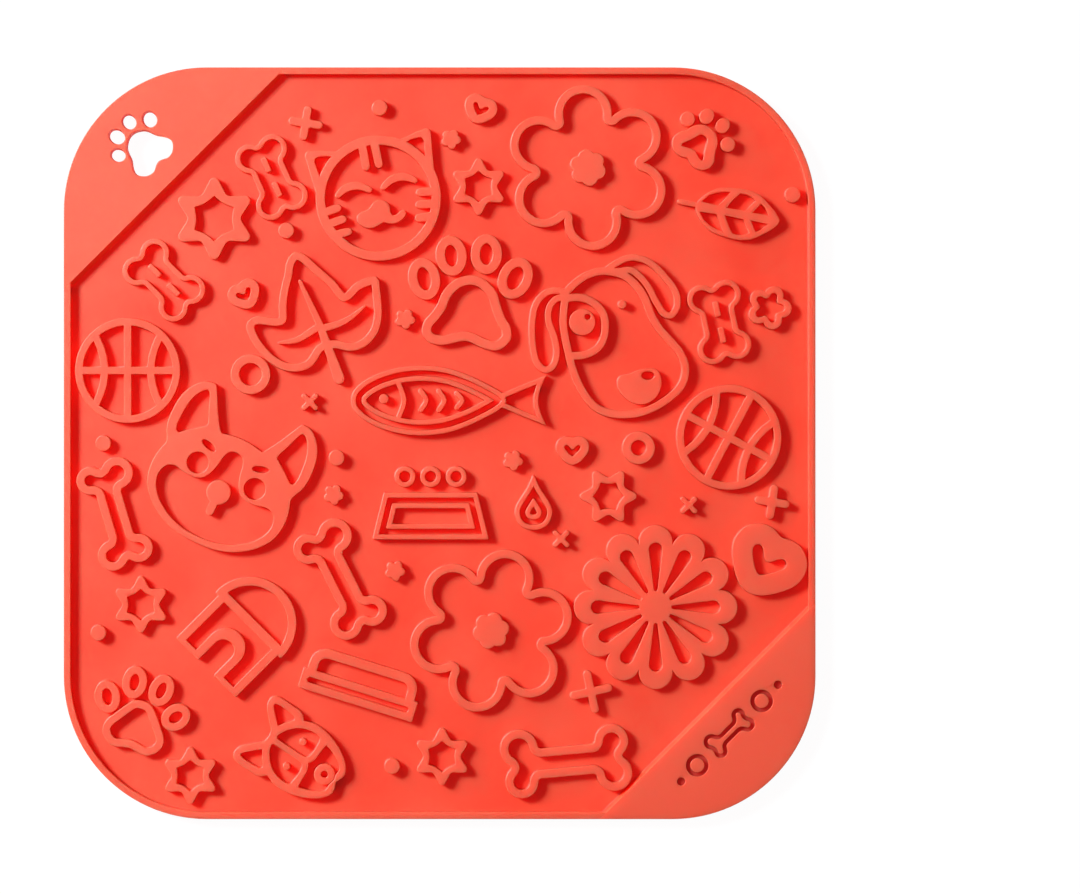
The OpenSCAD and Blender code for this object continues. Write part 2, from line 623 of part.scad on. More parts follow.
// Half outline above the axis with its mirror image below
function mirrored_down(half) = concat(
    half,
    [for (i = [len(half) - 1 : -1 : 0]) if (half[i].y != 0) [half[i].x, -half[i].y]]
);

function polar(r, angle) = [r * cos(angle), r * sin(angle)];

// Place beside point i of a run whose points hold a middle and a half width
function beside(points, i, side) =
    let (
        a = points[max(i - 1, 0)],
        b = points[min(i + 1, len(points) - 1)],
        along = [b.x - a.x, b.y - a.y] / norm([b.x - a.x, b.y - a.y])
    )
    [points[i].x, points[i].y] + side * points[i].z * [-along.y, along.x];

// Round ended strip along a run of middles with half widths
module strip(points) {
    last = len(points) - 1;
    polygon(concat(
        [for (i = [0 : last]) beside(points, i, 1)],
        [for (i = [last : -1 : 0]) beside(points, i, -1)]
    ));
    for (p = [points[0], points[last]]) translate([p.x, p.y]) circle(r = p.z);
}

// Straight round ended bar from a to b
module bar(a, b, w) {
    strip([[a.x, a.y, w / 2], [b.x, b.y, w / 2]]);
}

// Disc from a share row of middle and radius
module disc(row, size) {
    translate([row[0], row[1]] * size) circle(r = row[2] * size);
}

// Oval from a share row of middle, half length, half width and turn
module oval(row, size, grow = 0) {
    translate([row[0], row[1]] * size) rotate(row[4])
        scale([row[3] * size + grow, row[2] * size + grow]) circle(r = 1, $fn = 24);
}

// Outline rib that lies inside its children's edge
module inside_rib(w) {
    difference() {
        children();
        offset(delta = -w) children();
    }
}

// The same with rounded inner corners
module round_rib(w) {
    difference() {
        children();
        offset(r = -w) children();
    }
}

// Closed rib centred on a line of points
module centred_rib(points, w) {
    difference() {
        offset(delta = w / 2) polygon(points);
        offset(delta = -w / 2) polygon(points);
    }
}

module fillet(r) {
    offset(r = -r) offset(delta = r) children();
}

module place(share, turn = 0) {
    translate(share * mat_side) rotate(turn) children();
}

module both_sides() {
    children();
    mirror([1, 0]) children();
}

// Relief of moulded silicone that stands on the sheet, with its outer corners rounded by r
module relief(r = 0) {
    color(relief_colour) translate([0, 0, sheet_t]) linear_extrude(height = relief_h)
        offset(r = r) offset(delta = -r) children();
}

module mat_outline() {
    offset(r = corner_r, $fa = 3) square(mat_side - 2 * corner_r, center = true);
}

// Half plane past a diagonal line at distance d from the middle, on the side of turn
module past_diagonal(d, turn) {
    rotate(turn) translate([d, -mat_side]) square(2 * mat_side);
}

// Space past the sloped step of a corner plate, from below the relief to above it
module past_slope(d, turn) {
    slant = plate_slope * (relief_h + 2 * over) / relief_h;
    foot = d - plate_slope - plate_slope * over / relief_h;
    rotate([90, 0, turn]) translate([0, 0, -mat_side]) linear_extrude(height = 2 * mat_side)
        polygon([
            [foot, sheet_t - over], [foot + slant, top_z + over],
            [2 * mat_side, top_z + over], [2 * mat_side, sheet_t - over]
        ]);
}

module hang_paw_2d() {
    rotate(hang_turn) translate([corner_reach - hang_paw_inset, 0]) rotate(-90) {
        polygon(loop(mirrored(hang_pad_half_shares) * hang_paw));
        for (toe = hang_toe_shares) oval(toe, hang_paw);
    }
}

module base_sheet() {
    color(sheet_colour) linear_extrude(height = sheet_t) offset(delta = 0) difference() {
        mat_outline();
        hang_paw_2d();
    }
}

module hang_corner() {
    color(relief_colour) intersection() {
        translate([0, 0, sheet_t]) linear_extrude(height = relief_h) offset(delta = 0)
            difference() {
                intersection() {
                    mat_outline();
                    past_diagonal(hang_edge - 2 * plate_slope, hang_turn);
                }
                hang_paw_2d();
            }
        past_slope(hang_edge, hang_turn);
    }
}

// Engraved row of a bone between two rings and two dots
module groove_2d() {
    ring_x = (0.5 + bone_lobe_shares[0]) * groove_bone_l + groove_gap + groove_ring_r;
    dot_x = ring_x + groove_ring_r + groove_gap + groove_w;
    translate([corner_reach - groove_inset, 0]) rotate(90) {
        round_rib(groove_w) bone_2d(groove_bone_l, groove_w);
        both_sides() {
            translate([ring_x, 0]) inside_rib(groove_w) circle(r = groove_ring_r);
            translate([dot_x, 0]) circle(r = groove_w);
        }
    }
}

module corner_panel() {
    color(relief_colour) difference() {
        intersection() {
            translate([0, 0, sheet_t]) linear_extrude(height = relief_h) offset(delta = 0)
                intersection() {
                    mat_outline();
                    past_diagonal(panel_edge - 2 * plate_slope, panel_turn);
                }
            past_slope(panel_edge, panel_turn);
        }
        translate([0, 0, top_z - groove_h]) linear_extrude(height = groove_h + over)
            rotate(panel_turn) groove_2d();
    }
}

// Rim strip on one side of the diagonal through both corner plates
module rim_strip(side_turn) {
    color(relief_colour) difference() {
        translate([0, 0, sheet_t]) linear_extrude(height = relief_h) offset(delta = 0)
            intersection() {
                inside_rib(rim_w) mat_outline();
                past_diagonal(0, side_turn);
                past_diagonal(-hang_edge, panel_turn);
                past_diagonal(-panel_edge, hang_turn);
            }
        past_slope(hang_edge, hang_turn);
        past_slope(panel_edge, panel_turn);
    }
}

module rim_upper_right() {
    rim_strip(right_side_turn);
}

module rim_lower_left() {
    rim_strip(left_side_turn);
}

module ball_2d() {
    inside_rib(ball_rib) circle(r = ball_r);
    intersection() {
        circle(r = ball_r - ball_rib / 2);
        union() {
            square([2 * ball_r, ball_rib], center = true);
            square([ball_rib, 2 * ball_r], center = true);
            both_sides() translate([seam_gap + seam_r, 0]) difference() {
                circle(r = seam_r + ball_rib / 2);
                circle(r = seam_r - ball_rib / 2);
            }
        }
    }
}

module ball_left() {
    relief() place(ball_left_place_share) ball_2d();
}

module ball_right() {
    relief() place(ball_right_place_share, ball_right_turn) ball_2d();
}

// Petal circles round a core that fills the flower's middle
module petals(count, r, ring_r) {
    for (i = [1 : count]) rotate(360 / count * i) translate([ring_r, 0]) circle(r = r);
    circle(r = ring_r * cos(180 / count));
}

module flower_2d() {
    round_rib(flower_rib) petals(6, petal_r, petal_ring_r);
}

module blossom_2d(count, r, petal_share = blossom_petal_share) {
    petals(count, r * petal_share, r * (1 - petal_share));
}

module flower_top() {
    relief() place(flower_top_place_share, flower_top_turn) flower_2d();
}

module flower_bottom() {
    relief() place(flower_bottom_place_share, flower_bottom_turn) flower_2d();
}

module blossom_top() {
    relief() place(flower_top_place_share, blossom_top_turn) blossom_2d(6, blossom_r);
}

module blossom_bottom() {
    relief() place(flower_bottom_place_share, blossom_bottom_turn) blossom_2d(6, blossom_r);
}

module daisy() {
    relief() place(daisy_place_share, 90) difference() {
        petals(12, daisy_petal_r, daisy_ring_r);
        for (i = [1 : 12]) rotate(30 * i) strip([
            [slot_start_r + slot_tip_w / 2, 0, slot_tip_w / 2],
            [slot_end_r - slot_w / 2, 0, slot_w / 2]
        ]);
    }
}

module small_flower() {
    relief() place(small_flower_place_share, small_flower_turn) difference() {
        blossom_2d(5, small_flower_r, small_flower_petal_share);
        fillet(small_flower_hole_r)
            petals(5, small_flower_hole_r, small_flower_r - small_flower_rib - small_flower_hole_r);
    }
}

module cat_outline() {
    head_r = cat_head_d / 2;
    relief(moulded_r) place(cat_place_share, cat_turn) {
        difference() {
            circle(r = head_r);
            circle(r = head_r - cat_rib);
        }
        both_sides() difference() {
            polygon(cat_ear_shares * head_r);
            circle(r = head_r - cat_rib / 2);
            difference() {
                polygon(cat_ear_hole_shares * head_r);
                circle(r = head_r);
            }
        }
        for (row = cat_brow_shares) bar(row[0] * head_r, row[1] * head_r, cat_bar_share * head_r);
        both_sides() for (row = cat_whisker_shares) {
            bar(row[0] * head_r, row[1] * head_r, cat_bar_share * head_r);
        }
    }
}

module cat_features() {
    head_r = cat_head_d / 2;
    relief() place(cat_place_share, cat_turn) {
        both_sides() strip(run(cat_eye_shares * head_r));
        polygon(loop(cat_mouth_shares * head_r));
    }
}

module dog_outline() {
    relief() place(dog_place_share) {
        centred_rib(loop(dog_face_shares * dog_face), dog_rib);
        strip([for (p = run(dog_patch_shares * dog_face)) [p.x, p.y, dog_rib / 2]]);
        difference() {
            union() {
                centred_rib(loop(dog_left_ear_shares * dog_face), dog_ear_rib);
                centred_rib(loop(dog_right_ear_shares * dog_face), dog_ear_rib);
            }
            polygon(loop(dog_face_shares * dog_face));
        }
    }
}

module dog_features() {
    relief() place(dog_place_share) {
        difference() {
            disc(dog_eye_share, dog_face);
            disc(dog_glint_share, dog_face);
        }
        disc(dog_brow_share, dog_face);
        difference() {
            polygon(loop(dog_nose_shares * dog_face));
            oval(dog_nostril_share, dog_face);
        }
    }
}

module corgi_face() {
    relief() place(corgi_place_share, corgi_turn) difference() {
        polygon(loop(mirrored(corgi_half_shares) * corgi_face_w));
        both_sides() {
            polygon(loop(corgi_ear_shares * corgi_face_w));
            oval(corgi_brow_share, corgi_face_w);
            oval(corgi_eye_share, corgi_face_w);
        }
        polygon(loop(mirrored(corgi_muzzle_half_shares) * corgi_face_w));
    }
}

module corgi_nose() {
    nose = corgi_nose_share * corgi_face_w;
    mouth = corgi_mouth_share * corgi_face_w;
    relief() place(corgi_place_share, corgi_turn) {
        translate([nose.x, nose.y]) circle(r = nose.z);
        bar(nose, mouth, 2 * mouth.z);
    }
}

module calico_face() {
    relief(moulded_r) place(calico_place_share, calico_turn) difference() {
        polygon(loop(mirrored(calico_half_shares) * calico_face_w));
        both_sides() {
            polygon(loop(calico_ear_shares * calico_face_w));
            polygon(loop(calico_eye_shares * calico_face_w));
        }
        difference() {
            polygon(loop(mirrored(calico_mouth_half_shares) * calico_face_w));
            disc(calico_nose_share, calico_face_w);
        }
        disc(calico_nostril_share, calico_face_w);
    }
}

module calico_dots() {
    relief() place(calico_place_share, calico_turn)
        both_sides() disc(calico_dot_share, calico_face_w);
}

module house_door(r) {
    translate([0, door_y]) circle(r = r);
    translate([-r, -house_h]) square([2 * r, house_h + door_y]);
}

module dog_house() {
    relief(moulded_r) place(house_place_share, house_turn) {
        difference() {
            translate([0, -dome_drop]) circle(r = dome_r);
            translate([-dome_r, -house_beam - dome_r]) square([2 * dome_r, dome_r]);
            intersection() {
                translate([0, -dome_drop]) circle(r = dome_r - house_wall);
                translate([-dome_r, 0]) square([2 * dome_r, dome_r]);
            }
        }
        difference() {
            translate([-house_w / 2, -house_h]) square([house_w, house_h]);
            difference() {
                translate([-house_w / 2 + house_wall, -house_h + house_sill])
                    square([house_w - 2 * house_wall, house_h - house_sill - house_beam]);
                house_door(door_r + door_rib);
            }
            translate([0, -over]) house_door(door_r);
        }
    }
}

module pet_bed() {
    relief(moulded_r) place(bed_place_share, bed_turn) difference() {
        union() {
            translate([-bed_base_l / 2, 0]) square([bed_base_l, bed_base_h]);
            bed_body_2d(0, 0, bed_corner_r);
        }
        bed_body_2d(bed_rib, bed_base_h, bed_corner_r - bed_rib);
        bar(
            [-bed_base_l / 2 + bed_rib, bed_base_h / 2],
            [bed_base_l / 2 - bed_rib, bed_base_h / 2],
            bed_slot_w
        );
    }
}

// Body of the bed, drawn in by an inset and cut off below a height
module bed_body_2d(inset, low, r) {
    width = bed_body_l - 2 * inset;
    high = bed_h - inset;
    translate([-width / 2, low]) square([width, high - low - r]);
    translate([-width / 2 + r, low]) square([width - 2 * r, high - low]);
    both_sides() translate([width / 2 - r, high - r]) circle(r = r);
}

// Four lobes on a shaft along X
module bone_2d(l, fillet_r) {
    fillet(fillet_r) {
        for (i = [0 : 3]) {
            pair = floor(i / 2);
            across = i % 2 == 0 ? 1 : -1;
            translate([(pair - 0.5) * l, across * bone_gap_shares[pair] * l])
                circle(r = bone_lobe_shares[i] * l);
        }
        square([l, 2 * bone_shaft_share * l], center = true);
    }
}

module bone(place_share, turn, l) {
    relief() round_rib(bone_rib) difference() {
        place(place_share, turn) bone_2d(l, bone_rib / 3);
        past_diagonal(panel_edge - plate_slope - foot_gap, panel_turn);
    }
}

module bone_left() {
    bone(bone_left_place_share, bone_left_turn, bone_left_l);
}

module bone_middle() {
    bone(bone_middle_place_share, bone_middle_turn, bone_middle_l);
}

module bone_lower() {
    bone(bone_lower_place_share, bone_lower_turn, bone_lower_l);
}

// Dog biscuit with its length along Y and two dashes inside
module biscuit(place_share, turn) {
    relief(moulded_r) place(place_share, turn) {
        round_rib(biscuit_rib) fillet(biscuit_rib / 2) {
            for (x = [-1, 1], y = [-1, 1])
                translate([x * biscuit_lobe_gap / 2, y * biscuit_l / 2]) circle(r = biscuit_lobe_r);
            square([biscuit_waist, biscuit_l], center = true);
        }
        for (y = [-1, 1]) translate([0, y * (dash_l / 2 + dash_w)])
            square([dash_w, dash_l], center = true);
    }
}

module biscuit_top() {
    biscuit(biscuit_top_place_share, biscuit_top_turn);
}

module biscuit_left() {
    biscuit(biscuit_left_place_share, biscuit_left_turn);
}

module biscuit_right() {
    biscuit(biscuit_right_place_share, biscuit_right_turn);
}

module leaf_lobed() {
    relief(moulded_r) place(leaf_lobed_place_share, leaf_lobed_turn) {
        centred_rib(loop(leaf_lobed_shares * lobed_leaf), lobed_leaf_rib);
        for (vein = leaf_lobed_vein_shares) strip(run(vein * lobed_leaf));
    }
}

module leaf_veined() {
    relief(moulded_r) place(leaf_veined_place_share, leaf_veined_turn) {
        difference() {
            polygon(loop(mirrored_down(leaf_veined_half_shares) * veined_leaf));
            for (hole = leaf_veined_hole_shares, side = [0, 1]) mirror([0, side])
                polygon(hole * veined_leaf);
        }
        strip(leaf_veined_stem_shares * veined_leaf);
    }
}

module paw_large_pad() {
    relief() place(paw_large_place_share)
        inside_rib(large_paw_rib) polygon(loop(large_pad_shares * large_paw));
}

module toe_rings(toes, size, rib) {
    for (toe = toes) difference() {
        oval(toe, size, rib);
        oval(toe, size);
    }
}

module paw_large_toes() {
    relief() place(paw_large_place_share) toe_rings(large_toe_shares, large_paw, large_paw_rib);
}

module paw_lower_pad() {
    relief() place(paw_lower_place_share, paw_lower_turn)
        inside_rib(lower_paw_rib) polygon(loop(mirrored(lower_pad_half_shares) * lower_paw));
}

module paw_lower_toes() {
    relief() place(paw_lower_place_share, paw_lower_turn)
        toe_rings(lower_toe_shares, lower_paw, lower_paw_rib);
}

module paw_small_pad() {
    relief() place(paw_small_place_share, paw_small_turn) difference() {
        polygon(loop(mirrored(small_pad_half_shares) * small_paw));
        polygon(loop(mirrored(small_pad_hole_half_shares) * small_paw));
    }
}

module paw_small_toes() {
    relief() place(paw_small_place_share, paw_small_turn)
        for (toe = small_toe_shares) oval(toe, small_paw);
}

module heart_hole_2d(w) {
    polygon(loop(mirrored(heart_hole_half_shares) * w));
}

module heart(place_share, turn, w) {
    relief() place(place_share, turn) difference() {
        fillet(heart_dip_share * w) offset(r = heart_rib_share * w) heart_hole_2d(w);
        heart_hole_2d(w);
    }
}

module heart_top() {
    heart(heart_top_place_share, heart_top_turn, small_heart_w);
}

module heart_left() {
    heart(heart_left_place_share, heart_left_turn, small_heart_w);
}

module heart_middle() {
    heart(heart_middle_place_share, 0, small_heart_w);
}

module heart_large() {
    heart(heart_large_place_share, heart_large_turn, large_heart_w);
}

// Star with six points, whose tips are rounded by r
module star_2d(tip_r, notch_r, r) {
    offset(r = r) polygon([
        for (i = [0 : 11]) polar(i % 2 == 0 ? tip_r - r : notch_r - star_shift_share * r, 90 + 30 * i)
    ]);
}

// Star shaped hole with bulged sides between its six tips
function star_hole(tip_r) = [
    for (i = [0 : 360 / star_step - 1])
        let (dip = abs(sin(3 * star_step * i)) ^ star_bulge)
        polar(tip_r * (1 - (1 - star_hole_notch_share) * dip), 90 + star_step * i)
];

module star(place_share, tip_r, turn = 0) {
    relief() place(place_share, turn) difference() {
        fillet(star_fillet_share * tip_r)
            star_2d(tip_r, star_notch_share * tip_r, star_round_share * tip_r);
        polygon(star_hole(tip_r - star_rib * tip_r / small_star_r));
    }
}

module star_large() {
    star(star_large_place_share, large_star_r);
}

module star_top() {
    star(star_top_place_share, small_star_r);
}

module star_middle() {
    star(star_middle_place_share, small_star_r, star_middle_turn);
}

module star_left() {
    star(star_left_place_share, small_star_r);
}

module star_lower() {
    star(star_lower_place_share, small_star_r);
}

module star_bottom() {
    star(star_bottom_place_share, small_star_r);
}

module ring_left() {
    relief() place(ring_left_place_share) inside_rib(ring_rib) circle(r = left_ring_r);
}

module ring_right() {
    relief() place(ring_right_place_share) inside_rib(ring_rib) circle(r = right_ring_r);
}

// Two crossed bars with round ends
module cross_2d(l, w) {
    reach = (l - w) / 2;
    fillet(moulded_r) {
        bar([-reach, 0], [reach, 0], w, $fn = 16);
        bar([0, -reach], [0, reach], w, $fn = 16);
    }
}

module plus_top() {
    relief() place(plus_top_place_share, plus_top_turn) cross_2d(plus_l, plus_w);
}

module plus_right() {
    relief() place(plus_right_place_share, plus_right_turn) cross_2d(plus_l, plus_w);
}

module plus_lower() {
    relief() place(plus_lower_place_share, plus_lower_turn) cross_2d(lower_plus_l, plus_w);
}

module small_crosses() {
    relief() for (share = cross_place_shares) place(share, cross_turn)
        cross_2d(cross_l, cross_w);
}

module round_studs() {
    relief() for (share = stud_place_shares) place(share) circle(r = stud_r);
}

module blossom_studs() {
    relief() for (share = blossom_stud_place_shares) place(share, blossom_stud_turn)
        fillet(moulded_r) blossom_2d(5, blossom_stud_r, blossom_stud_petal_share, $fn = 20);
}

// Two thin ribs, one inside the other, along the edge of the children
module double_rib() {
    inside_rib(thin_rib) children();
    inside_rib(thin_rib) offset(r = -thin_rib - thin_gap) children();
}

// Curved line of the fish from a share row of half height and place
module fish_line_2d(row) {
    side = [row[1], row[0]] * fish_l;
    tip = [(row[1] + fish_line_bulge_share) * fish_l, 0];
    strip([for (p = run([side, tip, [side.x, -side.y]])) [p.x, p.y, thin_rib / 2]]);
}

module centre_fish() {
    relief() place(fish_place_share) {
        double_rib() polygon(loop(mirrored_down(fish_half_shares) * fish_l));
        difference() {
            inside_rib(thin_rib) polygon(loop(mirrored_down(fish_tail_half_shares) * fish_l));
            polygon(loop(mirrored_down(fish_half_shares) * fish_l));
        }
        disc(fish_eye_share, fish_l);
        for (row = fish_line_shares) fish_line_2d(row);
    }
}

module centre_bowl() {
    relief(moulded_r) place(bowl_place_share) {
        double_rib() polygon([
            [-bowl_w / 2, -bowl_h / 2], [bowl_w / 2, -bowl_h / 2],
            [bowl_w * bowl_top_share / 2, bowl_h / 2], [-bowl_w * bowl_top_share / 2, bowl_h / 2]
        ]);
        for (share = kibble_shares) translate([share * bowl_w, bowl_h / 2 + thin_gap + kibble_r])
            inside_rib(thin_rib) circle(r = kibble_r);
    }
}

module centre_drop() {
    relief(moulded_r) place(drop_place_share)
        double_rib() polygon(loop(mirrored(drop_half_shares) * drop_h));
}

base_sheet();
rim_upper_right();
rim_lower_left();
hang_corner();
corner_panel();
ball_left();
ball_right();
flower_top();
flower_bottom();
blossom_top();
blossom_bottom();
daisy();
small_flower();
cat_outline();
cat_features();
dog_outline();
dog_features();
corgi_face();
corgi_nose();
calico_face();
calico_dots();
dog_house();
pet_bed();
bone_left();
bone_middle();
bone_lower();
biscuit_top();
biscuit_left();
biscuit_right();
leaf_lobed();
leaf_veined();
paw_large_pad();
paw_large_toes();
paw_lower_pad();
paw_lower_toes();
paw_small_pad();
paw_small_toes();
heart_top();
heart_left();
heart_middle();
heart_large();
star_large();
star_top();
star_middle();
star_left();
star_lower();
star_bottom();
ring_left();
ring_right();
plus_top();
plus_right();
plus_lower();
small_crosses();
round_studs();
blossom_studs();
centre_fish();
centre_bowl();
centre_drop();
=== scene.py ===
# %% [markdown]
# # A lick mat in coral silicone
#
# A lick mat is one sheet of soft silicone, pressed in a heated mould. Its face is covered with
# raised ribs, studs and small pictures that hold wet food, so that an animal takes longer to eat.
# The construction model already has every raised form in its right place and size. What it lacks
# is what the mould and the rubber give: rounded crowns on the ribs, a small fillet where each rib
# grows out of the sheet, a fine matt grain, and light that creeps a few millimetres through the
# rubber. This script adds those, one family of forms at a time.

# %% Load the construction model
import math

import bmesh
import bpy
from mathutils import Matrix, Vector


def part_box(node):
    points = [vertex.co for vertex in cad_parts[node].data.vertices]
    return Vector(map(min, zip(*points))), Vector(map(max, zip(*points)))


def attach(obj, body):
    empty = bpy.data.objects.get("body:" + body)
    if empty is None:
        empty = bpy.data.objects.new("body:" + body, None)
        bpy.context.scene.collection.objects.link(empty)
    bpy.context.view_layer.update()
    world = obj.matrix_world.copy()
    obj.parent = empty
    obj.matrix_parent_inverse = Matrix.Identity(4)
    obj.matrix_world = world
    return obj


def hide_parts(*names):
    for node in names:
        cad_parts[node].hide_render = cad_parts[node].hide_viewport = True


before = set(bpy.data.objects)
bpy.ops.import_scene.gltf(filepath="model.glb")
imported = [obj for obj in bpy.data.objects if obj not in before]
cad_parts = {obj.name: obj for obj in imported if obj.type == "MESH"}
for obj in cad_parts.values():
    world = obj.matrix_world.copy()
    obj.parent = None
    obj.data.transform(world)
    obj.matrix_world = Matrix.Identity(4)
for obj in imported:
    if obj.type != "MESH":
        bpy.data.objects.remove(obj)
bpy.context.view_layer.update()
MM = 0.001
sheet_low, sheet_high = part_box("base_sheet")
relief_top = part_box("flower_top")[1].z
print("sheet", [round(v / MM, 2) for v in sheet_high - sheet_low], "mm")
print("crowns at", round(relief_top / MM, 2), "mm")

# %% [markdown]
# ## The camera
#
# The mat is seen from straight above, as on a copy stand. A long lens far away keeps the sides of
# the ribs out of sight, where a short lens close by would show them leaning outwards. The frame is
# wider than the mat, and the mat lies left of its middle, so the camera stands to the right of
# the mat's centre instead of being shifted.

# %% The camera straight above
CAMERA_HEIGHT = 1100 * MM
FRAME_WIDTH = 287.3 * MM
FRAME_CENTRE = (26.7 * MM, -1.0 * MM)
SENSOR = 36

lens = SENSOR * CAMERA_HEIGHT / FRAME_WIDTH
camera_data = bpy.data.cameras.new("camera")
camera_data.sensor_width = SENSOR
camera_data.lens = lens
camera = bpy.data.objects.new("camera", camera_data)
camera.location = (*FRAME_CENTRE, relief_top + CAMERA_HEIGHT)
bpy.context.scene.collection.objects.link(camera)
bpy.context.scene.camera = camera
bpy.context.scene.view_settings.view_transform = "Standard"
print("lens", round(lens, 1), "mm")

# %% [markdown]
# ## Writing shader maths as Python
#
# A material is a graph of nodes. Placing and linking them by hand hides the idea behind dozens of
# lines, so one small class wraps a node's output: + - * and / on it add Math nodes, and one method
# adds any other node. A recipe then reads as a formula.


# %% A class that wraps a socket
class Wire:
    def __init__(self, tree, socket=None):
        self.tree = tree
        self.socket = socket

    def node(self, kind, settings=None, sockets=None, out=0):
        """Adds a node: its settings first, then the values or links of its sockets."""
        made = self.tree.nodes.new(kind)
        for name, value in (settings or {}).items():
            setattr(made, name, value)
        for name, value in (sockets or {}).items():
            if isinstance(value, Wire):
                self.tree.links.new(value.socket, made.inputs[name])
            else:
                made.inputs[name].default_value = value
        return Wire(self.tree, made.outputs[out] if made.outputs else None)

    def math(self, operation, a, b):
        return self.node("ShaderNodeMath", {"operation": operation}, {0: a, 1: b})

    def __add__(self, other):
        return self.math("ADD", self, other)

    def __radd__(self, other):
        return self.math("ADD", other, self)

    def __sub__(self, other):
        return self.math("SUBTRACT", self, other)

    def __rsub__(self, other):
        return self.math("SUBTRACT", other, self)

    def __mul__(self, other):
        return self.math("MULTIPLY", self, other)

    def __rmul__(self, other):
        return self.math("MULTIPLY", other, self)

    def __truediv__(self, other):
        return self.math("DIVIDE", self, other)

    def __rtruediv__(self, other):
        return self.math("DIVIDE", other, self)


# %% [markdown]
# ## The rubber and its colours
#
# Coloured silicone is a translucent rubber. White light goes in, the pigment takes out the green
# and blue within a fraction of a millimetre, and the red travels on for several millimetres. That
# is why a shadow on the mat is a deep pure red and never grey: the red light arrives from beside.
# A plain diffuse colour gives dull brown shadows, so the shader's subsurface weight is full, and
# its radius is long for red and short for green and blue.

# %% Colours and depth of the rubber
DEEP_PIGMENT = (0.925, 0.05, 0.01, 1)
LIGHT_PIGMENT = (0.95, 0.084, 0.028, 1)
# paler colour painted on the raised tops as painted sheen, and on the grain
TOP_SHEEN_AND_GRAIN_COLOUR = (0.945, 0.15, 0.076, 1)
# darker red painted into the engraved row as painted shade
GROOVE_SHADE_COLOUR = (0.58, 0.026, 0.01, 1)
SILICONE_RADIUS = (1.0, 0.16, 0.09)
SILICONE_DEPTH = 3.5 * MM
SILICONE_IOR = 1.45
SHINE = 1.0
print("light travels", [round(SILICONE_DEPTH * r / MM, 2) for r in SILICONE_RADIUS], "mm")

# %% [markdown]
# ## Clouds, waves and grain
#
# The mould leaves a fine matt grain on slow shallow waves, and the pigment is never stirred quite
# evenly. The tops of the ribs are also painted a little paler than the floor between them, which is
# painted sheen for the light they catch. All of these are patterns in space, read from Object
# coordinates, so they run on unbroken from the sheet into the ribs. An image texture would need
# every rib unwrapped, and would show a seam at each foot.

# %% Patterns of the rubber
CLOUDS = {"Scale": 34, "Detail": 3, "Roughness": 0.5}
WAVES = {"Scale": 170, "Detail": 2, "Roughness": 0.5}
GRAIN = {"Scale": 2600, "Detail": 2, "Roughness": 0.6}


def noise(start, place, pattern):
    return start.node("ShaderNodeTexNoise", sockets={"Vector": place, **pattern})


for name, pattern in (("clouds", CLOUDS), ("waves", WAVES), ("grain", GRAIN)):
    print(name, "about", round(1 / pattern["Scale"] / MM, 1), "mm across")

# %% The pigment, cloudy, with painted sheen on the raised tops
CLOUD_CONTRAST = 2.4
# how far the raised tops are painted paler, as painted sheen
TOP_SHEEN_SHARE = 0.5
GRAIN_SHARE = 0.06


def blend_colours(start, factor, a, b):
    """Colour a where the factor is 0 and colour b where it is 1."""
    return start.node(
        "ShaderNodeMix", {"data_type": "RGBA"}, {"Factor": factor, "A": a, "B": b}, out="Result"
    )


# Colours the rubber by its clouds and grain, and paints the raised tops paler by their height as
# painted sheen.
def pigment(start, place, cloud, grain):
    height = start.node("ShaderNodeSeparateXYZ", sockets={0: place}, out="Z")
    rise = start.node(
        "ShaderNodeMapRange",
        {"interpolation_type": "SMOOTHSTEP"},
        {"Value": height, "From Min": sheet_high.z, "From Max": relief_top},
    )
    spread = cloud * CLOUD_CONTRAST - (CLOUD_CONTRAST - 1) / 2
    mottled = blend_colours(start, spread, DEEP_PIGMENT, LIGHT_PIGMENT)
    # painted sheen, paler with height above the sheet, plus the grain's own paleness
    grain_and_top_sheen = rise * TOP_SHEEN_SHARE + grain * GRAIN_SHARE
    return blend_colours(start, grain_and_top_sheen, mottled, TOP_SHEEN_AND_GRAIN_COLOUR)


# the raised tops get painted sheen over this range of height
print("rubbed from", round(sheet_high.z / MM, 2), "to", round(relief_top / MM, 2), "mm high")

# %% [markdown]
# ## The engraved row
#
# The engraved row on the lower plate is cut into the rubber and holds little light. Its walls and
# floor are painted a darker red, which is painted shade for that recess. A box in Object
# coordinates around the row picks them out. The row lies across the diagonal of the plate, so the
# box is measured along both diagonals of the mat.

# %% A mask for the painted shade in the engraved row
ROW_DISTANCE = 109.1 * MM
ROW_HALF_HEIGHT = 5 * MM
ROW_HALF_LENGTH = 21 * MM
ROW_START = 0.15 * MM


def groove_shade_mask(start, place):
    """1 inside the engraved row on the lower plate and 0 elsewhere, from Object coordinates."""
    x, y, z = (start.node("ShaderNodeSeparateXYZ", sockets={0: place}, out=axis) for axis in "XYZ")
    inward = start.math("ABSOLUTE", (x - y) / math.sqrt(2) - ROW_DISTANCE, 0)
    along = start.math("ABSOLUTE", (x + y) / math.sqrt(2), 0)
    near = start.math("LESS_THAN", inward, ROW_HALF_HEIGHT)
    beside = start.math("LESS_THAN", along, ROW_HALF_LENGTH)
    low = start.math("LESS_THAN", z, relief_top - ROW_START)
    deep = start.math("GREATER_THAN", z, sheet_high.z + ROW_START)
    return near * beside * low * deep


print("box", 2 * ROW_HALF_LENGTH / MM, "x", 2 * ROW_HALF_HEIGHT / MM, "mm around the row")

